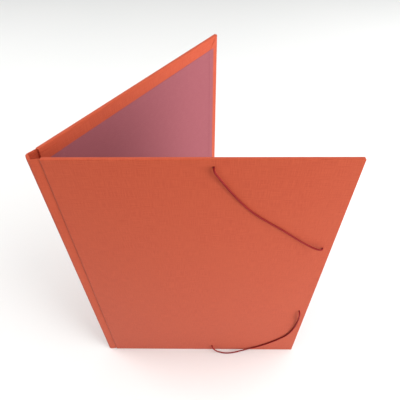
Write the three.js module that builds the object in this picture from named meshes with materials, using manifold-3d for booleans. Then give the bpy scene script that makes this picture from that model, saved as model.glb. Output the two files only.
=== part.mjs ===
// A handmade A4 folder: two hard covers on a narrow cloth spine, standing open on its lower edges,
// with a round elastic cord across each fore-edge corner of the front cover.
// Millimetres, +Z up. The origin is at the foot of the spine, halfway through its thickness.
// +X runs from the spine into the opening, and +Y points to the back cover's side.

import * as THREE from "three";
import { RoundedBoxGeometry } from "three/addons/geometries/RoundedBoxGeometry.js";
import { mergeVertices } from "three/addons/utils/BufferGeometryUtils.js";
import Module from "manifold-3d";

const wasm = await Module();
wasm.setup();

// Finished covers, measured over the cloth
const coverHeight = 320;
const coverReach = 231; // hinge line to fore edge
const spineWidth = 6.5; // front hinge line to back hinge line
const openAngle = THREE.MathUtils.degToRad(27.2); // each cover, from closed

// Materials
const boardThickness = 2.5;
const spineBoardThickness = 1.5;
const clothThickness = 0.25;
const paperThickness = 0.15;
const glueLine = 0.05;

// Cloth joint between a cover and the spine
const boardSetback = 8.35; // hinge line to the cover board's near edge
const grooveDepth = 1.1; // how far the cloth is pressed down beside the board
const faceOffset = 0.5; // the cover's outer face stands this far outside its hinge line
const coverClearance = 0.3; // hinge line to where the cover's cloth starts
const spineClearance = 0.6; // hinge line to the side of the spine

// Turned-in edges and inside papers
const turnIn = 13;
const innerHingeOverlap = 17; // inner hinge cloth on the cover's board
const innerHingeInset = 4; // from head and tail
const innerHingeSideInset = 0.15; // from the sides of the spine
const liningHeight = 297; // the paper is an A4 sheet
const liningForeMargin = 6.8;
const liningOverlap = 11.15; // paper on the inner hinge cloth
const pressedStep = 1; // how far a sheet takes to come down beside a turned-in edge

// Elastic cord and how it is anchored
const elasticDiameter = 1.5;
const elasticSides = 8;
const elasticSteps = 76;
const holeClearance = 0.35;
const holeSides = 24;
const tailLength = 16;
const tailWidth = 4;
const tailThickness = 0.6; // the cord's end, frayed and glued flat
const recessClearance = 0.1;

// Each elastic's route outside the cover, from the hole by the head or tail to the hole by the
// fore edge: distance from the fore edge, distance from the head or tail, height above the cover's face
const upperRoute = [
  [103.4, 7.2, 0.2],
  [103.3, 7.7, 1.7],
  [102.8, 9.2, 2.7],
  [101.5, 11.8, 2.8],
  [99.5, 15.2, 2.4],
  [97.4, 19.0, 2.1],
  [91.2, 29.2, 1.3],
  [83.2, 40.9, 0.9],
  [74.8, 51.1, 0.85],
  [66.2, 59.5, 0.85],
  [57.5, 66.6, 0.85],
  [48.6, 73.6, 0.9],
  [39.3, 81.3, 1.1],
  [29.7, 89.3, 1.5],
  [20.1, 96.4, 1.9],
  [16.5, 98.3, 2.4],
  [13.6, 99.5, 2.7],
  [11.3, 100.3, 2.7],
  [9.2, 101.1, 2.0],
  [8.1, 101.6, 0.2],
];
const lowerRoute = [
  [101.3, 11.5, 0.2],
  [100.9, 10.9, 1.8],
  [99.7, 9.0, 3.0],
  [97.4, 5.7, 3.5],
  [94.6, 3.3, 4.0],
  [91.1, 1.9, 4.5],
  [86.2, 1.2, 5.2],
  [81.0, 1.1, 5.3],
  [75.6, 1.3, 4.8],
  [70.5, 1.6, 3.9],
  [65.7, 2.1, 2.8],
  [59.5, 3.3, 1.7],
  [53.2, 5.9, 1.1],
  [47.8, 9.0, 1.0],
  [42.2, 12.8, 0.9],
  [36.6, 17.2, 0.85],
  [28.6, 24.8, 0.85],
  [21.0, 33.3, 0.85],
  [14.2, 42.6, 0.85],
  [9.6, 54.0, 0.9],
  [7.0, 68.5, 1.1],
  [6.4, 82.0, 1.6],
  [6.8, 93.0, 2.5],
  [7.4, 98.9, 2.9],
  [7.8, 102.3, 2.2],
  [7.9, 103.8, 0.2],
];

// Sizes that follow
const skin = clothThickness + glueLine;
const edgeRadius = 2 * clothThickness; // cloth drawn round a square board edge
const edgeSegments = 2;
const halfSpine = spineWidth / 2;
const boardFront = faceOffset - skin;
const boardBack = boardFront - boardThickness;
const coverBack = boardBack - skin;
const grooveEnd = boardSetback - glueLine;
const innerHingeEnd = boardSetback + innerHingeOverlap;
const spineHalfThickness = spineBoardThickness / 2 + skin;
const spineSide = halfSpine - spineClearance;
const windowFoot = turnIn;
const windowHead = coverHeight - turnIn;
const windowFore = coverReach - turnIn;
const outside = 10; // how far a cutting tool reaches past what it cuts

const material = {
  cloth: { color: 0xc65a40, roughness: 0.75, metalness: 0 },
  board: { color: 0x9c9488, roughness: 0.95, metalness: 0 },
  lining: { color: 0xa86070, roughness: 0.8, metalness: 0 },
  elastic: { color: 0x8e2a2e, roughness: 0.6, metalness: 0 },
};

const sizeOf = (low, high) => high.map((value, i) => value - low[i]);
const middleOf = (low, high) => high.map((value, i) => (value + low[i]) / 2);

function box(low, high) {
  return new THREE.BoxGeometry(...sizeOf(low, high)).translate(...middleOf(low, high));
}

function roundedBox(low, high) {
  const geometry = new RoundedBoxGeometry(...sizeOf(low, high), edgeSegments, edgeRadius);
  return geometry.translate(...middleOf(low, high));
}

// A straight body on a plan outline, from one height to another
function prism(outline, foot, head) {
  const shape = new THREE.Shape(outline.map(([x, y]) => new THREE.Vector2(x, y)));
  const options = { depth: head - foot, bevelEnabled: false };
  return new THREE.ExtrudeGeometry(shape, options).translate(0, 0, foot);
}

// A closed body through plan outlines of like points at rising heights
function loft(heights, outlineAt) {
  const rings = heights.map((z) => outlineAt(z));
  const count = rings[0].length;
  const positions = rings.flatMap((ring, i) => ring.flatMap(([x, y]) => [x, y, heights[i]]));
  const faces = [];
  for (let start = 0; start < (rings.length - 1) * count; start += count) {
    for (let i = 0; i < count; i++) {
      const a = start + i;
      const b = start + ((i + 1) % count);
      faces.push(a, b, b + count, a, b + count, a + count);
    }
  }
  const last = (rings.length - 1) * count;
  const capOf = (ring) => {
    const corners = ring.map(([x, y]) => new THREE.Vector2(x, y));
    return THREE.ShapeUtils.triangulateShape(corners, []);
  };
  capOf(rings[0]).forEach(([a, b, c]) => faces.push(c, b, a));
  capOf(rings.at(-1)).forEach(([a, b, c]) => faces.push(last + a, last + b, last + c));
  const geometry = new THREE.BufferGeometry();
  geometry.setAttribute("position", new THREE.Float32BufferAttribute(positions, 3));
  geometry.setIndex(faces);
  return geometry;
}

function toSolid(geometry) {
  const bare = geometry.clone();
  bare.deleteAttribute("normal");
  bare.deleteAttribute("uv");
  const merged = mergeVertices(bare, 1e-4);
  const vertProperties = merged.attributes.position.array;
  const triVerts = new Uint32Array(merged.index.array);
  return new wasm.Manifold(new wasm.Mesh({ numProp: 3, vertProperties, triVerts }));
}

function toGeometry(solid) {
  const { vertProperties, triVerts } = solid.getMesh();
  const geometry = new THREE.BufferGeometry();
  geometry.setAttribute("position", new THREE.BufferAttribute(vertProperties, 3));
  geometry.setIndex(new THREE.BufferAttribute(triVerts, 1));
  return geometry;
}

const cut = (solid, tools) => tools.reduce((rest, tool) => rest.subtract(toSolid(tool)), solid);
const join = (solid, pieces) => pieces.reduce((whole, piece) => whole.add(toSolid(piece)), solid);

function piece(name, geometry, finish) {
  const faceted = geometry.index ? geometry.toNonIndexed() : geometry;
  faceted.computeVertexNormals();
  const mesh = new THREE.Mesh(faceted, new THREE.MeshStandardMaterial(finish));
  mesh.name = name;
  return mesh;
}

// Both covers are drawn alike in their own frame: X from the hinge line to the fore edge,
// +Y out through the outer face, Z up

// Outer surface of the cloth in the joint, which slopes down from the spine to the board's edge
function grooveFace(x) {
  return faceOffset - (grooveDepth * (x - coverClearance)) / (grooveEnd - coverClearance);
}

// The cloth in the joint, as thick as its layers
function jointCloth(thickness, foot, head) {
  const outline = [
    [coverClearance, grooveFace(coverClearance) - thickness],
    [grooveEnd, grooveFace(grooveEnd) - thickness],
    [grooveEnd, grooveFace(grooveEnd)],
    [coverClearance, grooveFace(coverClearance)],
  ];
  return prism(outline, foot, head);
}

// Where an elastic goes in, and which way its glued tail lies from there
function anchorsOf({ route, fromHead }) {
  const [first, last] = [route[0], route.at(-1)].map(([x, z]) => onCover([x, z, 0], fromHead));
  return [
    { at: first, lies: new THREE.Vector3(0, 0, fromHead ? -1 : 1) },
    { at: last, lies: new THREE.Vector3(-1, 0, 0) },
  ];
}

function onCover([fromFore, fromEdge, standOff], fromHead) {
  const z = fromHead ? coverHeight - fromEdge : fromEdge;
  return new THREE.Vector3(coverReach - fromFore, faceOffset + standOff, z);
}

// The hole for an elastic, between two depths of the cover
function hole({ at }, inner, outer) {
  const radius = elasticDiameter / 2 + holeClearance;
  const drill = new THREE.CylinderGeometry(radius, radius, outer - inner, holeSides);
  return drill.translate(at.x, (inner + outer) / 2, at.z);
}

// The flat tail in the back of the board, or with room round it the recess that holds it
function tail({ at, lies }, room, backwards) {
  const along = tailLength / 2 - tailWidth / 2;
  const middle = at.clone().addScaledVector(lies, along);
  const halfX = (lies.x ? tailLength : tailWidth) / 2 + room;
  const halfZ = (lies.z ? tailLength : tailWidth) / 2 + room;
  const low = [middle.x - halfX, boardBack - backwards, middle.z - halfZ];
  const high = [middle.x + halfX, boardBack + tailThickness + room, middle.z + halfZ];
  return box(low, high);
}

const elastics = [
  { name: "upper_elastic", route: upperRoute, fromHead: true },
  { name: "lower_elastic", route: lowerRoute, fromHead: false },
];
const anchors = elastics.flatMap(anchorsOf);

function coverBoard(drilled) {
  const low = [boardSetback, boardBack, skin];
  const high = [coverReach - skin, boardFront, coverHeight - skin];
  const solid = toSolid(box(low, high));
  const tools = drilled.flatMap((anchor) => [
    hole(anchor, boardBack - outside, boardFront + outside),
    tail(anchor, recessClearance, outside),
  ]);
  return toGeometry(cut(solid, tools));
}

// The bookcloth: over the outer face, down into the joint, round all edges and turned in
function coverCloth(drilled) {
  const low = [boardSetback - skin, coverBack, 0];
  const wrapped = toSolid(roundedBox(low, [coverReach, faceOffset, coverHeight]));
  const pocket = box(
    [grooveEnd, boardBack - glueLine, clothThickness],
    [coverReach - clothThickness, faceOffset - clothThickness, coverHeight - clothThickness],
  );
  const window = box(
    [grooveEnd, coverBack - outside, windowFoot],
    [windowFore, boardBack, windowHead],
  );
  const openSide = box(
    [boardSetback - skin - outside, coverBack - outside, windowFoot],
    [grooveEnd + glueLine, grooveFace(grooveEnd) - clothThickness / 2, windowHead],
  );
  const layers = [
    jointCloth(clothThickness, 0, coverHeight),
    jointCloth(clothThickness + skin, 0, windowFoot),
    jointCloth(clothThickness + skin, windowHead, coverHeight),
  ];
  const shell = join(cut(wrapped, [pocket, window, openSide]), layers);
  const holes = drilled.map((anchor) => hole(anchor, boardFront, faceOffset + outside));
  return toGeometry(cut(shell, holes));
}

// Sheets glued over a turned-in edge stand one layer higher there
const overTurnIn = (z) => z <= windowFoot || z >= windowHead;
const turnInHeights = [windowFoot, windowFoot + pressedStep, windowHead - pressedStep, windowHead];

// The inner hinge cloth: from the spine through the joint, down the board's edge and on to its back
function innerHinge() {
  const heights = [innerHingeInset, ...turnInHeights, coverHeight - innerHingeInset];
  const sideAt = (depth) => [
    [coverClearance, grooveFace(coverClearance) - clothThickness - depth],
    [boardSetback - depth, grooveFace(boardSetback - depth) - clothThickness - depth],
    [boardSetback - depth, boardBack - depth],
    [innerHingeEnd, boardBack - depth],
  ];
  return loft(heights, (z) => {
    const depth = glueLine + (overTurnIn(z) ? skin : 0);
    return [...sideAt(depth + clothThickness), ...sideAt(depth).reverse()];
  });
}

function lining() {
  const foot = (coverHeight - liningHeight) / 2;
  const heights = [foot, ...turnInHeights, coverHeight - foot];
  const places = [
    innerHingeEnd - liningOverlap,
    innerHingeEnd,
    innerHingeEnd + pressedStep,
    windowFore - pressedStep,
    windowFore,
    coverReach - liningForeMargin,
  ];
  return loft(heights, (z) => {
    const glued = places.map((x) => {
      const turned = overTurnIn(z) || x >= windowFore ? skin : 0;
      const hinged = x <= innerHingeEnd ? skin : 0;
      return [x, boardBack - glueLine - turned - hinged];
    });
    const shown = glued.map(([x, y]) => [x, y - paperThickness]);
    return [...shown, ...glued.reverse()];
  });
}

// One cord: a glued tail, out through the board, across the corner, and in again
function elastic({ route, fromHead }) {
  const inside = -skin - boardThickness + tailThickness / 2;
  const [first, last] = [route[0], route.at(-1)];
  const through = [
    [first[0], first[1], inside],
    [first[0], first[1], inside / 2],
    ...route,
    [last[0], last[1], inside / 2],
    [last[0], last[1], inside],
  ];
  const path = new THREE.CatmullRomCurve3(through.map((point) => onCover(point, fromHead)));
  const section = new THREE.Shape();
  section.setFromPoints(
    Array.from({ length: elasticSides }, (_, i) => {
      const angle = (2 * Math.PI * i) / elasticSides;
      return new THREE.Vector2(Math.cos(angle), Math.sin(angle)).multiplyScalar(elasticDiameter / 2);
    }),
  );
  const options = { steps: elasticSteps, bevelEnabled: false, extrudePath: path };
  const cord = toSolid(new THREE.ExtrudeGeometry(section, options));
  return toGeometry(join(cord, anchorsOf({ route, fromHead }).map((anchor) => tail(anchor, 0, 0))));
}

function cover(side, drilled) {
  const group = new THREE.Group();
  group.add(
    piece(`${side}_board`, coverBoard(drilled), material.board),
    piece(`${side}_cover_cloth`, coverCloth(drilled), material.cloth),
    piece(`${side}_inner_hinge`, innerHinge(), material.cloth),
    piece(`${side}_lining`, lining(), material.lining),
  );
  return group;
}

// The spine: a narrow strip of board in the same cloth, turned in at head and tail
function spine() {
  const board = box(
    [-spineBoardThickness / 2, skin - spineSide, skin],
    [spineBoardThickness / 2, spineSide - skin, coverHeight - skin],
  );
  const pocket = box(
    [clothThickness - spineHalfThickness, clothThickness - spineSide, clothThickness],
    [spineBoardThickness / 2 + glueLine, spineSide - clothThickness, coverHeight - clothThickness],
  );
  const window = box(
    [spineBoardThickness / 2, -spineSide - outside, windowFoot],
    [spineHalfThickness + outside, spineSide + outside, windowHead],
  );
  const wrapped = toSolid(
    roundedBox([-spineHalfThickness, -spineSide, 0], [spineHalfThickness, spineSide, coverHeight]),
  );
  const heights = [innerHingeInset, ...turnInHeights, coverHeight - innerHingeInset];
  const halfWidth = spineSide - innerHingeSideInset;
  const hinge = loft(heights, (z) => {
    const glued = spineHalfThickness + (overTurnIn(z) ? glueLine : -clothThickness);
    const shown = glued + clothThickness;
    return [
      [glued, -halfWidth],
      [shown, -halfWidth],
      [shown, halfWidth],
      [glued, halfWidth],
    ];
  });
  const group = new THREE.Group();
  group.add(
    piece("spine_board", board, material.board),
    piece("spine_cloth", toGeometry(cut(wrapped, [pocket, window])), material.cloth),
    piece("spine_inner_hinge", hinge, material.cloth),
  );
  return group;
}

const backCover = cover("back", []);
backCover.position.y = halfSpine;
backCover.rotation.z = openAngle;

// The front cover is the back one mirrored, drilled, and threaded with the elastics
const frontCover = cover("front", anchors);
elastics.forEach((cord) => frontCover.add(piece(cord.name, elastic(cord), material.elastic)));
frontCover.position.y = -halfSpine;
frontCover.rotation.z = -openAngle;
frontCover.scale.y = -1;

const folder = new THREE.Group();
folder.add(spine(), frontCover, backCover);

export default folder;
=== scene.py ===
import math

import bmesh
import bpy
from mathutils import Matrix, Vector


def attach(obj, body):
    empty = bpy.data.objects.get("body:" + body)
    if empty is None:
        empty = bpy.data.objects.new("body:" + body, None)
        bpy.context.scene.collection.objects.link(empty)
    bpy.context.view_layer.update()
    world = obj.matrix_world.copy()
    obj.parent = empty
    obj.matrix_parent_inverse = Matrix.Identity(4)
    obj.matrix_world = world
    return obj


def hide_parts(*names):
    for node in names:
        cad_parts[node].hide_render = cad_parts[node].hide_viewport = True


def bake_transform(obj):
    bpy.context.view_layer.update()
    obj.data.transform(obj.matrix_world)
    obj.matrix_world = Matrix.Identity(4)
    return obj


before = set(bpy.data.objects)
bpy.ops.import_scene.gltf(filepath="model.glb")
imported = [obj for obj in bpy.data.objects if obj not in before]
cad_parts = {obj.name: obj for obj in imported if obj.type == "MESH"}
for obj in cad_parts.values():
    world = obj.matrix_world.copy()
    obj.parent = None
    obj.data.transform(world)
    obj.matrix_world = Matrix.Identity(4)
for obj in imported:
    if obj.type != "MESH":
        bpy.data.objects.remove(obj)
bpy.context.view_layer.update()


# Greyboards: two stiff covers and a thin strip for the spine, cut from grey millboard.
# They keep the shapes they were cut to, with the elastics' holes punched through the front one
# and a shallow recess behind each hole for the elastic's glued tail.

mm = 0.001
pulp_grey = (0.27, 0.25, 0.21)
pulp_pale = (0.36, 0.335, 0.285)
pulp_fleck = (0.16, 0.15, 0.13)


class Value:
    """What a shader node gives. Sums and products of values add their Math nodes."""

    def __init__(self, finish, socket):
        self.finish = finish
        self.socket = socket

    def math(self, operation, *values):
        return self.finish.node("ShaderNodeMath", {"operation": operation}, dict(enumerate(values)))

    def __add__(self, other):
        return self.math("ADD", self, other)

    def __mul__(self, other):
        return self.math("MULTIPLY", self, other)

    def __abs__(self):
        return self.math("ABSOLUTE", self)

    __radd__ = __add__
    __rmul__ = __mul__

    def wave(self):
        return self.math("SINE", self)

    def between(self, low, high):
        """0 up to low, 1 from high, and smooth in between."""
        settings = {"interpolation_type": "SMOOTHSTEP", "clamp": True}
        inputs = {"Value": self, "From Min": low, "From Max": high}
        return self.finish.node("ShaderNodeMapRange", settings, inputs)


class Finish:
    """A material: its shader's constant values, and the nodes that vary it."""

    def __init__(self, name, **constants):
        self.material = bpy.data.materials.new(name)
        self.material.use_nodes = True
        self.tree = self.material.node_tree
        self.shader = self.tree.nodes["Principled BSDF"]
        self.look(**constants)

    def look(self, **inputs):
        """Sets these inputs of the shader, or links what varies them, and gives the material."""
        for name, value in inputs.items():
            self.feed(self.shader.inputs[name.replace("_", " ")], value)
        return self.material

    def feed(self, socket, value):
        if isinstance(value, Value):
            self.tree.links.new(value.socket, socket)
        elif socket.type == "RGBA":
            socket.default_value = (*value, 1)
        else:
            socket.default_value = value

    def node(self, kind, settings, inputs, output=0):
        made = self.tree.nodes.new(kind)
        for name, value in settings.items():
            setattr(made, name, value)
        for name, value in inputs.items():
            self.feed(made.inputs[name], value)
        return Value(self, made.outputs[output])

    def mixed(self, share, first, second):
        """The first colour where share is 0 and the second where it is 1."""
        # A Mix node's sockets for colours: 0 the share, 6 and 7 the colours, and 2 the result
        inputs = {0: share, 6: first, 7: second}
        return self.node("ShaderNodeMix", {"data_type": "RGBA"}, inputs, output=2)

    def speckle(self, place, size, stretch=(1, 1, 1), detail=3):
        """Soft noise around 0.5, with blotches about size across, longer where stretch is larger."""
        scale = tuple(1 / (size * s) for s in stretch)
        scaled = self.node("ShaderNodeVectorMath", {"operation": "MULTIPLY"}, {0: place, 1: scale})
        return self.node("ShaderNodeTexNoise", {}, {"Vector": scaled, "Scale": 1, "Detail": detail})

    def bumped(self, height, depth):
        """Height from 0 to 1 stands for depth in metres."""
        return self.node("ShaderNodeBump", {}, {"Height": height, "Strength": 1, "Distance": depth})


def greyboard_finish():
    finish = Finish("greyboard", Specular_IOR_Level=0.2)
    place = finish.node("ShaderNodeTexCoord", {}, {}, output="Object")
    pulp = finish.speckle(place, 3 * mm)
    fleck = finish.speckle(place, 0.4 * mm, stretch=(1, 1, 3))
    colour = finish.mixed(pulp.between(0.35, 0.65), pulp_grey, pulp_pale)
    colour = finish.mixed(fleck.between(0.62, 0.7), colour, pulp_fleck)
    return finish.look(Base_Color=colour, Roughness=pulp * 0.1 + 0.85,
                       Normal=finish.bumped(fleck, 0.03 * mm))


greyboard = greyboard_finish()
for board in ("spine_board", "front_board", "back_board"):
    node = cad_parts[board]
    node.data.materials.clear()
    node.data.materials.append(greyboard)


# Elastics: two thin round cords of dark red braid, one across each fore-edge corner of the front
# cover. Each goes in through a punched hole at either end, and lies slack in between.
# The tails behind the holes are frayed and glued flat into the board under the lining.

cover_height = 320 * mm
cover_reach = 231 * mm
half_spine = 3.25 * mm
open_angle = math.radians(27.2)
# Levels in a cover, outwards from the line of its hinge: face of the cloth and back of the board
face = 0.5 * mm
board_back = -2.3 * mm

elastic_diameter = 1.5 * mm
strand_count = 8
sides_per_strand = 4
braid_pitch = 0.9 * mm
rings_per_pitch = 4
braid_relief = 0.05 * mm
crease_angle = math.radians(35)
braid_dark = (0.20, 0.008, 0.009)
braid_red = (0.30, 0.016, 0.016)
braid_rubbed = (0.33, 0.022, 0.02)

tail_thickness = 0.6 * mm
tail_width = 4 * mm
tail_length = 16 * mm
tail_strands = 9
tail_steps = 12
# Shares of the tail's width at its hole, of its thickness between two strands, of its thickness
# that is lost towards its end, and of its length by which strands differ
tail_neck = 0.55
tail_valley = 0.62
tail_thinning = 0.5
tail_fray = 0.07

# Distance from the fore edge, distance from the head or tail, height above the cover's face
upper_route = [
    (103.4, 7.2, 0.2), (103.3, 7.7, 1.7), (102.8, 9.2, 2.7), (101.5, 11.8, 2.8),
    (99.5, 15.2, 2.4), (97.4, 19.0, 2.1), (91.2, 29.2, 1.3), (83.2, 40.9, 0.9),
    (74.8, 51.1, 0.85), (66.2, 59.5, 0.85), (57.5, 66.6, 0.85), (48.6, 73.6, 0.9),
    (39.3, 81.3, 1.1), (29.7, 89.3, 1.5), (20.1, 96.4, 1.9), (16.5, 98.3, 2.4),
    (13.6, 99.5, 2.7), (11.3, 100.3, 2.7), (9.2, 101.1, 2.0), (8.1, 101.6, 0.2),
]
lower_route = [
    (101.3, 11.5, 0.2), (100.9, 10.9, 1.8), (99.7, 9.0, 3.0), (97.4, 5.7, 3.5),
    (94.6, 3.3, 4.0), (91.1, 1.9, 4.5), (86.2, 1.2, 5.2), (81.0, 1.1, 5.3),
    (75.6, 1.3, 4.8), (70.5, 1.6, 3.9), (65.7, 2.1, 2.8), (59.5, 3.3, 1.7),
    (53.2, 5.9, 1.1), (47.8, 9.0, 1.0), (42.2, 12.8, 0.9), (36.6, 17.2, 0.85),
    (28.6, 24.8, 0.85), (21.0, 33.3, 0.85), (14.2, 42.6, 0.85), (9.6, 54.0, 0.9),
    (7.0, 68.5, 1.1), (6.4, 82.0, 1.6), (6.8, 93.0, 2.5), (7.4, 98.9, 2.9),
    (7.8, 102.3, 2.2), (7.9, 103.8, 0.2),
]
# The tails' middle, in the routes' millimetres above the cover's face
tail_level = (board_back + tail_thickness / 2 - face) / mm


def beside_spine(u, v):
    """Plan of a point u from the hinge line and v outwards, on the back cover at rest."""
    x = u * math.cos(open_angle) - v * math.sin(open_angle)
    y = half_spine + u * math.sin(open_angle) + v * math.cos(open_angle)
    return x, y


def on_side(side, plan, z):
    """That plan point in space, on the back cover's side or mirrored to the front cover's."""
    x, y = plan
    return Vector((x, y if side == "back" else -y, z))


def front_point(from_fore, from_edge, stand_off, from_head):
    z = cover_height - from_edge if from_head else from_edge
    return on_side("front", beside_spine(cover_reach - from_fore, face + stand_off), z)


up = Vector((0, 0, 1))
front_hinge_line = on_side("front", beside_spine(0, 0), 0)
out_of_front = on_side("front", beside_spine(0, 1), 0) - front_hinge_line
to_spine = on_side("front", beside_spine(-1, 0), 0) - front_hinge_line


def smooth_path(points, spacing):
    """Points about spacing apart on one smooth curve through the given ones."""
    path = []
    for i in range(len(points) - 1):
        before = points[max(i - 1, 0)]
        start, end = points[i], points[i + 1]
        after = points[min(i + 2, len(points) - 1)]
        steps = max(2, round((end - start).length / spacing))
        for step in range(steps):
            t = step / steps
            path.append(
                0.5 * (2 * start + (end - before) * t
                       + (2 * before - 5 * start + 4 * end - after) * t**2
                       + (3 * start - before - 3 * end + after) * t**3)
            )
    return [*path, points[-1]]


def mesh_object(name, shape, finish):
    """A piece made of that shape, which is used up, with its creases kept sharp."""
    mesh = bpy.data.meshes.new(name)
    shape.to_mesh(mesh)
    shape.free()
    mesh.set_sharp_from_angle(angle=crease_angle)
    mesh.polygons.foreach_set("use_smooth", [True] * len(mesh.polygons))
    mesh.materials.append(finish)
    made = bpy.data.objects.new(name, mesh)
    bpy.context.scene.collection.objects.link(made)
    return made


def braid(name, path, finish):
    """A closed tube along the path, its surface raised in the diamonds of a round braid."""
    sides = sides_per_strand * strand_count
    shape = bmesh.new()
    along = (path[1] - path[0]).normalized()
    across = along.orthogonal().normalized()
    rings = []
    length = 0
    for i, point in enumerate(path):
        if i:
            length += (point - path[i - 1]).length
        ahead = (path[min(i + 1, len(path) - 1)] - path[max(i - 1, 0)]).normalized()
        across = (along.rotation_difference(ahead) @ across).normalized()
        along = ahead
        beside = along.cross(across)
        ring = []
        for k in range(sides):
            turn = 2 * math.pi * k / sides
            diamond = math.cos(strand_count * turn) * math.cos(2 * math.pi * length / braid_pitch)
            radius = elastic_diameter / 2 + braid_relief * diamond
            out = math.cos(turn) * across + math.sin(turn) * beside
            ring.append(shape.verts.new(point + radius * out))
        rings.append(ring)
    for ring, following in zip(rings, rings[1:]):
        for k in range(sides):
            after = (k + 1) % sides
            shape.faces.new((ring[k], ring[after], following[after], following[k]))
    shape.faces.new(reversed(rings[0]))
    shape.faces.new(rings[-1])
    return mesh_object(name, shape, finish)


def glued_tail(name, hole, lies, finish):
    """The cord's end, frayed into strands and pressed flat from the hole along the board."""
    beside = out_of_front.cross(lies)
    last = 2 * tail_strands
    shape = bmesh.new()
    layers = []
    for level in (0, 1):
        rows = []
        for j in range(last + 1):
            on_strand = j % 2
            reach = tail_length * (1 - tail_fray * (j % 4) / 3)
            row = []
            for i in range(tail_steps + 1):
                t = i / tail_steps
                forward = -tail_width / 2 + t * reach
                width = tail_width * (tail_neck + (1 - tail_neck) * min(1, 2 * t))
                thick = tail_thickness * (tail_valley + (1 - tail_valley) * on_strand)
                thick *= 1 - tail_thinning * t**3
                aside = width * (j / last - 0.5)
                lifted = level * thick * out_of_front
                row.append(shape.verts.new(hole + forward * lies + aside * beside + lifted))
            rows.append(row)
        layers.append(rows)
    for rows in layers:
        for j in range(last):
            for i in range(tail_steps):
                shape.faces.new((rows[j][i], rows[j][i + 1], rows[j + 1][i + 1], rows[j + 1][i]))
    low, high = layers
    rim = [(0, i) for i in range(tail_steps)] + [(j, tail_steps) for j in range(last)]
    rim += [(last, i) for i in range(tail_steps, 0, -1)] + [(j, 0) for j in range(last, 0, -1)]
    for (j, i), (m, n) in zip(rim, rim[1:] + rim[:1]):
        shape.faces.new((low[j][i], low[m][n], high[m][n], high[j][i]))
    bmesh.ops.recalc_face_normals(shape, faces=shape.faces)
    return mesh_object(name, shape, finish)


def elastic_finish():
    finish = Finish("elastic_braid", Specular_IOR_Level=0.12)
    place = finish.node("ShaderNodeTexCoord", {}, {}, output="Object")
    fibre = finish.speckle(place, 0.25 * mm, stretch=(1, 1, 2))
    patch = finish.speckle(place, 9 * mm)
    colour = finish.mixed(fibre.between(0.35, 0.7), braid_dark, braid_red)
    colour = finish.mixed(patch.between(0.45, 0.75) * 0.35, colour, braid_rubbed)
    return finish.look(Base_Color=colour, Roughness=fibre * 0.2 + 0.5,
                       Normal=finish.bumped(fibre, 0.02 * mm))


elastic_braid = elastic_finish()
holes = []
for name, route, from_head, real_length in (
    ("upper_elastic", upper_route, True, 0.145),
    ("lower_elastic", lower_route, False, 0.178),
):
    first, last = route[0], route[-1]
    whole = [
        (*first[:2], tail_level),
        (*first[:2], tail_level / 2),
        *route,
        (*last[:2], tail_level / 2),
        (*last[:2], tail_level),
    ]
    spots = [front_point(a * mm, b * mm, c * mm, from_head) for a, b, c in whole]
    path = smooth_path(spots, braid_pitch / rings_per_pitch)
    cord = braid(f"{name}_cord", path, elastic_braid)
    tails = []
    for where, spot, lies in (
        ("edge", first, -up if from_head else up),
        ("fore", last, to_spine),
    ):
        hole = front_point(spot[0] * mm, spot[1] * mm, board_back - face, from_head)
        tails.append(glued_tail(f"{name}_{where}_tail", hole, lies, elastic_braid))
        holes.append((cover_reach - spot[0] * mm, hole.z))
    for piece in (cord, *tails):
        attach(piece, "front_cover")
    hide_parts(name)
    tuple(front_point(first[0] * mm, first[1] * mm, 0, from_head))
    [tuple(point) for point in path[::4]] + [tuple(path[-1])]


# Bookcloth: one orange-red cloth over the outside of both covers and the spine. It is glued over
# the boards, pressed down into the joints, drawn round all edges and turned in, with the corners
# cut off at 45 degrees and lapped. It is made here in two halves that meet along the spine.

cloth_thickness = 0.25 * mm
glue = 0.05 * mm
skin = cloth_thickness + glue
cover_back = -2.6 * mm
turn_in = 13 * mm
cloth_dark = (0.445, 0.059, 0.021)
cloth_pale = (0.52, 0.083, 0.032)
cloth_cloud = (0.49, 0.078, 0.028)
# The weave, in the flat cloth's millimetres
thread_pitch = 0.42
slub_thickness = 1.2
cloud_size = 45

# Spine: how far its cloth's face stands out from its middle, a column in its flat and the flat's
# end, and how far the round beyond is drawn on along the flat and back up the joint's slope
spine_face = 1.05 * mm
spine_row = 0.8 * mm
spine_flat = 1.7 * mm
outer_pull = 1.5 * mm
inner_pull = 0.9 * mm
slope_pull = 1.2 * mm
spine_steps = 12

# Joint: from the hinge line to the board's edge, with its cloth sloping down into the groove
board_setback = 8.35 * mm
board_step = board_setback - skin
groove_start = 0.3 * mm
groove_depth = 1.1 * mm
slope_columns = [1.4 * mm, 2.2 * mm, 3.2 * mm, 4.6 * mm, 6.0 * mm]
outer_slope_end = 6.6 * mm
outer_slope_pull = 7.2 * mm
step_softness = 0.7 * mm
inner_slope_end = 6.8 * mm
inner_foot = 7.0 * mm
inner_foot_pull = 0.3 * mm
inner_foot_drop = 0.5 * mm
step_steps = 5

# Edges: how round the cloth goes over them and their corners, and the mesh's columns and rows
edge_radius = 0.5 * mm
corner_radius = 0.8 * mm
arc_steps = 4
corner_steps = 4
support = 1.4 * mm
edge_rows = [support, 4 * mm, 16 * mm]
board_columns = [20 * mm, 60 * mm, 100 * mm, 140 * mm, 180 * mm]
step_column = 0.5 * mm

# Turned-in strip: distance in from the edge, and how much of a layer the fore edge's strip is
# lifted there where it laps over the head's and the tail's
turned_strip = [(support, 0.3), (4 * mm, 1), (8 * mm, 1), (11 * mm, 0.4),
                (turn_in - 0.4 * mm, 0.1), (turn_in, 0.05)]
lap = 1.2 * mm
lap_lift = 0.27 * mm
lap_fade = 2.6 * mm

# Punched holes, and the punch that cuts them
hole_radius = 1.1 * mm
punch_sides = 32
punch_length = 1 * mm


# Points nearer to each other than this are one point
merge_distance = 0.002 * mm


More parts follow.
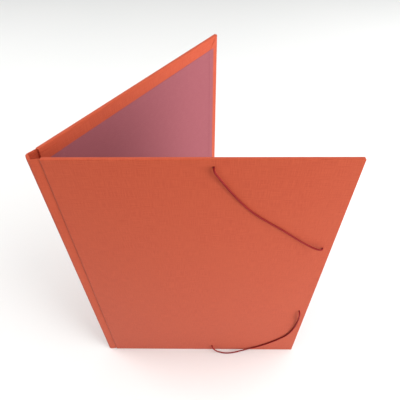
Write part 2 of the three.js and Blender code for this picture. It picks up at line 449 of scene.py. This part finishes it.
def part_way(a, b, t):
    return tuple(p + (q - p) * t for p, q in zip(a, b))


def swept(start, start_pull, end_pull, end, steps):
    """Points on a curve that leaves start and nears end in the pulls' directions, without end."""
    def at(t):
        near = part_way(start, start_pull, t)
        middle = part_way(start_pull, end_pull, t)
        far = part_way(end_pull, end, t)
        return part_way(part_way(near, middle, t), part_way(middle, far, t), t)
    return [at(i / steps) for i in range(steps)]


def arc(centre, radius, start, end, steps):
    """Points on an arc from one angle in degrees to another, without its end."""
    angles = [math.radians(start + (end - start) * i / steps) for i in range(steps)]
    return [(centre[0] + radius * math.cos(a), centre[1] + radius * math.sin(a)) for a in angles]


def groove(u):
    """Outer face of the cloth in the joint."""
    return face - groove_depth * (u - groove_start) / (board_setback - glue - groove_start)


def round_spine(sign, joint_depth, spine_depth):
    """From mid-spine round its side and down the joint: sign is -1 outside and 1 inside the V."""
    def slope(u):
        return beside_spine(u, groove(u) - joint_depth)

    x = sign * (spine_face + spine_depth)
    near = slope(slope_columns[0])
    heading = Vector(slope(2 * slope_columns[0])) - Vector(near)
    before = Vector(near) - heading.normalized() * slope_pull
    along = spine_flat + (outer_pull if sign < 0 else inner_pull)
    curve = swept((x, spine_flat), (x, along), tuple(before), near, spine_steps)
    return [(x, 0), (x, spine_row), *curve, *[slope(u) for u in slope_columns]]


def outer_section():
    """Plan of the cloth's outer side, from mid-spine to the flat of the cover."""
    centre = (board_step + edge_radius, face - edge_radius)
    rise = arc(centre, edge_radius, 135, 90, step_steps)
    lowest = (rise[0][0] - step_softness, rise[0][1] - step_softness)
    drop = swept((outer_slope_end, groove(outer_slope_end)),
                 (outer_slope_pull, groove(outer_slope_pull)), lowest, rise[0], step_steps)
    flat = [(centre[0], face), (centre[0] + step_column, face)]
    return round_spine(-1, 0, 0) + [beside_spine(*p) for p in [*drop, *rise, *flat]]


def inner_section(layer):
    """Plan of the side seen inside the V: the turned-in cloth's, or that of a layer on it."""
    step = board_step - layer
    back = cover_back - layer
    depth = cloth_thickness + skin + layer
    centre = (step + edge_radius, back + edge_radius)
    foot = groove(inner_foot) - depth
    drop = swept((inner_slope_end, groove(inner_slope_end) - depth), (step - inner_foot_pull, foot),
                 (step, foot), (step, foot - inner_foot_drop), step_steps)
    fall = arc(centre, edge_radius, 180, 270, step_steps)
    flat = [(centre[0], back), (centre[0] + step_column, back)]
    return round_spine(1, depth, layer) + [beside_spine(*p) for p in [*drop, *fall, *flat]]


def cover_flat(columns, level):
    return [beside_spine(u, level) for u in columns]


def foot_to_head(rows):
    """Heights of these rows from the foot, of one half-way up, and of the same from the head."""
    return [*rows, cover_height / 2, *[cover_height - z for z in reversed(rows)]]


def round_edge(thickness):
    """Round a covered edge, front to back: (distance in from the edge, depth behind the front)."""
    radius = min(edge_radius, thickness / 2)
    quarter = [math.radians(90 * i / arc_steps) for i in range(arc_steps + 1)]
    near = [(radius * (1 - math.sin(a)), radius * (1 - math.cos(a))) for a in quarter]
    far = [(inset, thickness - depth) for inset, depth in reversed(near)]
    return [(corner_radius, 0), *near, *far, (corner_radius, thickness)]


def turned_over(thickness):
    """An edge's whole profile, on to the end of the turned-in strip."""
    return round_edge(thickness) + [(inset, thickness) for inset, lift in turned_strip]


def measure(section):
    """Length along a plan section up to each of its points."""
    total, lengths = 0, [0]
    for a, b in zip(section, section[1:]):
        total += math.dist(a, b)
        lengths.append(total)
    return lengths


def applied(made):
    """The object with its modifiers made part of its mesh."""
    evaluated = made.evaluated_get(bpy.context.evaluated_depsgraph_get())
    mesh = bpy.data.meshes.new_from_object(evaluated)
    made.modifiers.clear()
    old = made.data
    made.data = mesh
    bpy.data.meshes.remove(old)
    mesh.set_sharp_from_angle(angle=crease_angle)
    return made


class Cloth:
    """Faces of a sheet, collected as quads between points, with its flat measure as its UV map."""

    def __init__(self):
        self.shape = bmesh.new()
        self.flat = self.shape.loops.layers.uv.new("thread")

    def patch(self, rows, flats, from_head=True):
        """Joins a grid of points; flats has each point's place in the flat sheet, in metres.
        Rows that go over the tail instead of the head are turned round, to face the same way."""
        if not from_head:
            rows, flats = rows[::-1], flats[::-1]
        spots = [[self.shape.verts.new(point) for point in row] for row in rows]
        for j in range(len(rows) - 1):
            for i in range(len(rows[0]) - 1):
                corners = ((j, i), (j, i + 1), (j + 1, i + 1), (j + 1, i))
                # A quad squeezed to a line or a point has no face
                if len({rows[m][n].to_tuple(8) for m, n in corners}) < 3:
                    continue
                made = self.shape.faces.new([spots[m][n] for m, n in corners])
                for loop, (m, n) in zip(made.loops, corners):
                    loop[self.flat].uv = [x / mm for x in flats[m][n]]

    def finished(self, name, thickness, mirrored, finish):
        """Merged, thickened on its hidden side and turned the right way out."""
        bmesh.ops.remove_doubles(self.shape, verts=self.shape.verts, dist=merge_distance)
        if mirrored:
            bmesh.ops.reverse_faces(self.shape, faces=self.shape.faces)
        made = mesh_object(name, self.shape, finish)
        solidify = made.modifiers.new("thickness", "SOLIDIFY")
        solidify.thickness = thickness
        solidify.offset = -1
        return applied(made)


def covering_half(side, finish):
    """One half of the cloth, and how wide it was cut."""
    columns = [*board_columns, *[cover_reach - inset for inset in reversed(edge_rows)],
               cover_reach - corner_radius]
    outer = outer_section() + cover_flat(columns, face)
    inner = inner_section(0) + cover_flat(columns, cover_back)
    along = measure(outer)
    cloth = Cloth()
    heights = foot_to_head(edge_rows)
    cloth.patch([[on_side(side, plan, z) for plan in outer] for z in heights],
                [[(a, z) for a in along] for z in heights])

    fore_profile = turned_over(face - cover_back)
    fore_along = measure(fore_profile)
    rounded = len(fore_profile) - len(turned_strip)
    profiles = [[(support, 0), *turned_over(math.dist(*pair))] for pair in zip(outer, inner)]

    # Head and tail: every column of the section goes over the edge and in
    for from_head in (True, False):
        rows, flats = [], []
        for k in range(len(fore_profile) + 1):
            row, flat = [], []
            for i, (a, b, x, profile) in enumerate(zip(outer, inner, along, profiles)):
                inset, depth = profile[k]
                plan = part_way(a, b, depth / math.dist(a, b))
                if k > rounded and i >= len(outer) - len(columns):
                    u = min(columns[i - len(outer)], cover_reach - inset)
                    plan = beside_spine(u, cover_back)
                beyond = measure(profile[:k + 1])[-1] - support
                row.append(on_side(side, plan, cover_height - inset if from_head else inset))
                flat.append((x, cover_height + beyond if from_head else -beyond))
            rows.append(row)
            flats.append(flat)
        cloth.patch(rows, flats, from_head)

    # Fore edge: its turned-in strip laps over the mitred ends of the head's and the tail's
    fore_columns = []
    for k, (inset, depth) in enumerate(fore_profile):
        on_back = k >= rounded
        level = turned_strip[k - rounded][1] if on_back else 0
        mitre = max(inset, corner_radius) if on_back else corner_radius
        near = [(mitre - lap * level**0.5, level), (max(mitre, support), level)]
        near += [(max(mitre, support) + lap_fade, 0), (edge_rows[-1], 0)]
        column = [*near, (cover_height / 2, 0)]
        column += [(cover_height - z, lift) for z, lift in reversed(near)]
        fore_columns.append([(inset, depth + lap_lift * lift, z) for z, lift in column])
    rows = [[on_side(side, beside_spine(cover_reach - inset, face - depth), z)
             for inset, depth, z in row] for row in zip(*fore_columns)]
    flats = [[(along[-1] + x, z) for x, (inset, depth, z) in zip(fore_along, row)]
             for row in zip(*fore_columns)]
    cloth.patch(rows, flats)

    # Corners: a quarter turn from the fore edge to the head or the tail
    for from_head in (True, False):
        rows, flats = [], []
        for step in range(corner_steps + 1):
            angle = math.radians(90 * step / corner_steps)
            row, flat = [], []
            for (inset, depth), x in zip(fore_profile[:rounded], fore_along):
                u = cover_reach - corner_radius + (corner_radius - inset) * math.cos(angle)
                above = (corner_radius - inset) * math.sin(angle) - corner_radius
                z = cover_height + above if from_head else -above
                row.append(on_side(side, beside_spine(u, face - depth), z))
                beyond = x * step / corner_steps - corner_radius
                flat.append((along[-1] + x * (1 - step / corner_steps),
                             cover_height + beyond if from_head else -beyond))
            rows.append(row)
            flats.append(flat)
        cloth.patch(rows, flats, from_head)

    made = cloth.finished(f"{side}_bookcloth", cloth_thickness, side == "back", finish)
    return made, along[-1] + fore_along[-1]


def punched(cloth):
    """The front cover's cloth with the elastics' four holes punched through it."""
    turn = out_of_front.to_track_quat("Z", "Y").to_matrix().to_4x4()
    for u, z in holes:
        place = Matrix.Translation(on_side("front", beside_spine(u, face), z)) @ turn
        shape = bmesh.new()
        bmesh.ops.create_cone(shape, cap_ends=True, segments=punch_sides, radius1=hole_radius,
                              radius2=hole_radius, depth=punch_length, matrix=place)
        mesh = bpy.data.meshes.new("punch")
        shape.to_mesh(mesh)
        shape.free()
        punch = bpy.data.objects.new("punch", mesh)
        bpy.context.scene.collection.objects.link(punch)
        cut = cloth.modifiers.new("hole", "BOOLEAN")
        cut.operation = "DIFFERENCE"
        cut.solver = "EXACT"
        cut.object = punch
        applied(cloth)
        bpy.data.objects.remove(punch)


def bookcloth_finish():
    finish = Finish("orange_red_bookcloth", Specular_IOR_Level=0.2, Sheen_Weight=0.1,
                    Sheen_Roughness=0.5)
    thread = finish.node("ShaderNodeUVMap", {"uv_map": "thread"}, {})
    across = finish.node("ShaderNodeSeparateXYZ", {}, {"Vector": thread}, output="X")
    up_cover = finish.node("ShaderNodeSeparateXYZ", {}, {"Vector": thread}, output="Y")
    warp = (across * (math.pi / thread_pitch)).wave()
    weft = (up_cover * (math.pi / thread_pitch)).wave()
    weave = abs(warp) * abs(weft) * 0.7 + warp * weft * 0.3
    slub_across = finish.speckle(thread, slub_thickness, stretch=(9, 0.35, 1), detail=2)
    slub_up = finish.speckle(thread, slub_thickness, stretch=(0.35, 9, 1), detail=2)
    slubs = slub_across * 0.5 + slub_up * 0.5
    cloud = finish.speckle(thread, cloud_size, detail=2)
    colour = finish.mixed(slubs.between(0.36, 0.64), cloth_dark, cloth_pale)
    colour = finish.mixed(cloud.between(0.35, 0.7) * 0.3, colour, cloth_cloud)
    relief = weave * 0.6 + slubs * 0.8
    return finish.look(Base_Color=colour, Roughness=slubs * 0.15 + 0.68,
                       Normal=finish.bumped(relief, 0.05 * mm))


def bent_with(piece):
    """The piece with its placing made part of its mesh."""
    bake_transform(piece)


bookcloth = bookcloth_finish()
for side in ("front", "back"):
    half, flat_width = covering_half(side, bookcloth)
    if side == "front":
        punched(half)
    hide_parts(f"{side}_cover_cloth", "spine_cloth")
    bent_with(half)


# Inner hinge cloth: a strip of the same cloth over the inside of the spine and both joints,
# glued down over the turned-in edges and on to the backs of the cover boards.

hinge_inset = 4 * mm
hinge_overlap_end = 25.35 * mm
hinge_columns = [14 * mm, 20 * mm, hinge_overlap_end]
hinge_edge_row = 8 * mm
hinge_inner_row = 20 * mm
# A step is pressed where a sheet runs off the edge of one that lies under it
step_width = 1 * mm
pressed_rows = 6
foot_step = (turn_in, turn_in + step_width)
head_step = (cover_height - turn_in - step_width, cover_height - turn_in)
fore_step = (cover_reach - turn_in - step_width, cover_reach - turn_in)


def smooth_step(x, low, high):
    t = min(1, max(0, (x - low) / (high - low)))
    return t * t * (3 - 2 * t)


def step_places(low, high):
    """Places across a pressed step, close enough for it to come out round."""
    return [low + (high - low) * i / pressed_rows for i in range(pressed_rows + 1)]


def over_turn_in(z):
    """1 over the cloth turned in at the head and the tail, and 0 between."""
    return max(1 - smooth_step(z, *foot_step), smooth_step(z, *head_step))


def inner_hinge_half(side, finish):
    """One half of the strip, and how wide it was cut."""
    low = inner_section(0) + cover_flat(hinge_columns, cover_back)
    high = inner_section(skin) + cover_flat(hinge_columns, cover_back - skin)
    along = measure(low)
    heights = foot_to_head([hinge_inset, hinge_edge_row, *step_places(*foot_step),
                            hinge_inner_row])
    cloth = Cloth()
    cloth.patch([[on_side(side, part_way(a, b, over_turn_in(z)), z) for a, b in zip(low, high)]
                 for z in heights], [[(a, z) for a in along] for z in heights])
    made = cloth.finished(f"{side}_inner_hinge_cloth", cloth_thickness, side == "front", finish)
    return made, along[-1]


for side in ("front", "back"):
    strip, strip_width = inner_hinge_half(side, bookcloth)
    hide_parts(f"{side}_inner_hinge", "spine_inner_hinge")
    bent_with(strip)


# Linings: a sheet of mauve paper of A4 size glued to the inside of each cover. It covers the
# edges of the turned-in cloth and of the inner hinge, which show through as faint pressed steps.

lining_height = 297 * mm
lining_width = 210 * mm
lining_end = cover_reach - 6.8 * mm
lining_start = lining_end - lining_width
lining_foot = (cover_height - lining_height) / 2
paper_thickness = 0.15 * mm
mauve_dark = (0.275, 0.073, 0.092)
mauve_pale = (0.318, 0.089, 0.106)
mauve_cloud = (0.335, 0.097, 0.114)
hinge_step = (hinge_overlap_end, hinge_overlap_end + step_width)
paper_columns = [lining_start, lining_start + 1 * mm, *step_places(*hinge_step), 60 * mm, 110 * mm,
                 160 * mm, *step_places(*fore_step), lining_end - 1 * mm, lining_end]
paper_rows = [lining_foot, lining_foot + 0.7 * mm, *step_places(*foot_step), 60 * mm]


def lining(side, finish):
    """A sheet of paper over the board's back, raised a skin for each cloth that lies under it."""
    heights = foot_to_head(paper_rows)
    rows = []
    for z in heights:
        row = []
        for u in paper_columns:
            turned = max(over_turn_in(z), smooth_step(u, *fore_step))
            hinged = 1 - smooth_step(u, *hinge_step)
            level = board_back - glue - paper_thickness - skin * (turned + hinged)
            row.append(on_side(side, beside_spine(u, level), z))
        rows.append(row)
    sheet = Cloth()
    sheet.patch(rows, [[(u, z) for u in paper_columns] for z in heights])
    return sheet.finished(f"{side}_lining_paper", paper_thickness, side == "front", finish)


def lining_finish():
    finish = Finish("mauve_lining_paper", Specular_IOR_Level=0.25)
    place = finish.node("ShaderNodeUVMap", {"uv_map": "thread"}, {})
    fibre = finish.speckle(place, 0.5, stretch=(1, 2.5, 1))
    pulp = finish.speckle(place, 6)
    colour = finish.mixed(fibre.between(0.3, 0.7), mauve_dark, mauve_pale)
    colour = finish.mixed(pulp.between(0.4, 0.7) * 0.25, colour, mauve_cloud)
    return finish.look(Base_Color=colour, Roughness=fibre * 0.15 + 0.7,
                       Normal=finish.bumped(fibre, 0.012 * mm))


mauve_paper = lining_finish()
for side in ("front", "back"):
    paper = lining(side, mauve_paper)
    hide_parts(f"{side}_lining")
    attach(paper, f"{side}_cover")


# Studio: a wide pale table with soft lamps around and above it, and a camera that looks down on
# the open folder from the front cover's side.

table_grey = (0.86, 0.87, 0.86)
table_pale = (0.89, 0.89, 0.88)
table_reach = 4
table_parts = 8
sky_strength = 0.35
# Each lamp's place, width and power
lamps = {
    "right_front": ((1.1, -0.9, 1.1), 1.7, 17.3),
    "right": ((1.4, 0.1, 0.8), 1, 5.0),
    "low_front": ((0.6, -0.9, 0.25), 0.6, 6.9),
    "back_left": ((-0.9, 0.8, 1.2), 1.4, 17),
    "above": ((0.1, 0, 1.6), 1.2, 5),
}
camera_place = Vector((16.548, -238.460, 495.655)) * mm
camera_yaw = 0.451925
camera_pitch = 0.820505
camera_roll = 0.0165477
focal_pixels = 390.473
image_pixels = 400


def table_finish():
    finish = Finish("pale_table", Specular_IOR_Level=0.1)
    place = finish.node("ShaderNodeTexCoord", {}, {}, output="Object")
    cloud = finish.speckle(place, 0.4)
    return finish.look(Base_Color=finish.mixed(cloud, table_grey, table_pale),
                       Roughness=cloud * 0.1 + 0.8)


def stage_floor(finish):
    shape = bmesh.new()
    bmesh.ops.create_grid(shape, x_segments=table_parts, y_segments=table_parts, size=table_reach)
    mesh = bpy.data.meshes.new("table")
    shape.to_mesh(mesh)
    shape.free()
    mesh.materials.append(finish)
    table = bpy.data.objects.new("table", mesh)
    bpy.context.scene.collection.objects.link(table)


def soft_lamp(name, place, size, power):
    """A round lamp of that size and power, aimed at the middle of the folder."""
    light = bpy.data.lights.new(name, "AREA")
    light.shape = "DISK"
    light.size = size
    light.energy = power
    lamp = bpy.data.objects.new(name, light)
    lamp.location = place
    aim = Vector((cover_reach / 2, 0, cover_height / 2)) - lamp.location
    lamp.rotation_euler = aim.to_track_quat("-Z", "Y").to_euler()
    bpy.context.scene.collection.objects.link(lamp)


def camera():
    forward = Vector((math.sin(camera_yaw) * math.cos(camera_pitch),
                      math.cos(camera_yaw) * math.cos(camera_pitch), -math.sin(camera_pitch)))
    level = Vector((math.cos(camera_yaw), -math.sin(camera_yaw), 0))
    down = forward.cross(level)
    right = math.cos(camera_roll) * level + math.sin(camera_roll) * down
    below = math.cos(camera_roll) * down - math.sin(camera_roll) * level
    lens = bpy.data.cameras.new("photo_view")
    lens.sensor_width = 36
    lens.lens = lens.sensor_width * focal_pixels / image_pixels
    lens.clip_start = 0.01
    view = bpy.data.objects.new("photo_view", lens)
    turn = Matrix((right, -below, -forward)).transposed().to_4x4()
    view.matrix_world = Matrix.Translation(camera_place) @ turn
    bpy.context.scene.collection.objects.link(view)
    bpy.context.scene.camera = view


stage_floor(table_finish())
camera()
world = bpy.data.worlds.new("studio")
world.use_nodes = True
world.node_tree.nodes["Background"].inputs["Color"].default_value = (1, 1, 1, 1)
world.node_tree.nodes["Background"].inputs["Strength"].default_value = sky_strength
bpy.context.scene.world = world
bpy.context.scene.view_settings.view_transform = "Standard"
for name, (place, size, power) in lamps.items():
    soft_lamp(name, place, size, power)
